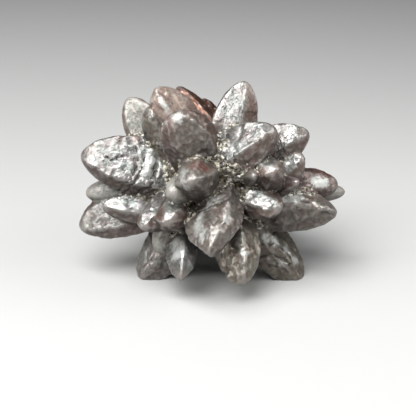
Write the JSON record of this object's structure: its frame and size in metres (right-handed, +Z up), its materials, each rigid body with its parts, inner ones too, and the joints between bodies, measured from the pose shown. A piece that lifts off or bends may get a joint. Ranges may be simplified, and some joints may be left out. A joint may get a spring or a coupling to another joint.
{
  "type": "prophecy stone crystal cluster",
  "caption": "Natural cluster of dark metallic iron-oxide crystals that radiate in all directions from one fused core, standing on a few worn crystal tips.",
  "frame": {"origin": "on the ground under the middle of the bounding box", "axes": "+Z up, +X to the right along the widest reach of the crystals, -Y towards the front, where the long front crystal points"},
  "size_m": [0.0482, 0.0436, 0.0353],
  "materials": {
    "iron_oxide": "satin, metallic brown-grey with a dull cream crust between the crystals"
  },
  "bodies": {
    "root": {"crystal_cluster": "iron_oxide"}
  },
  "joints": []
}
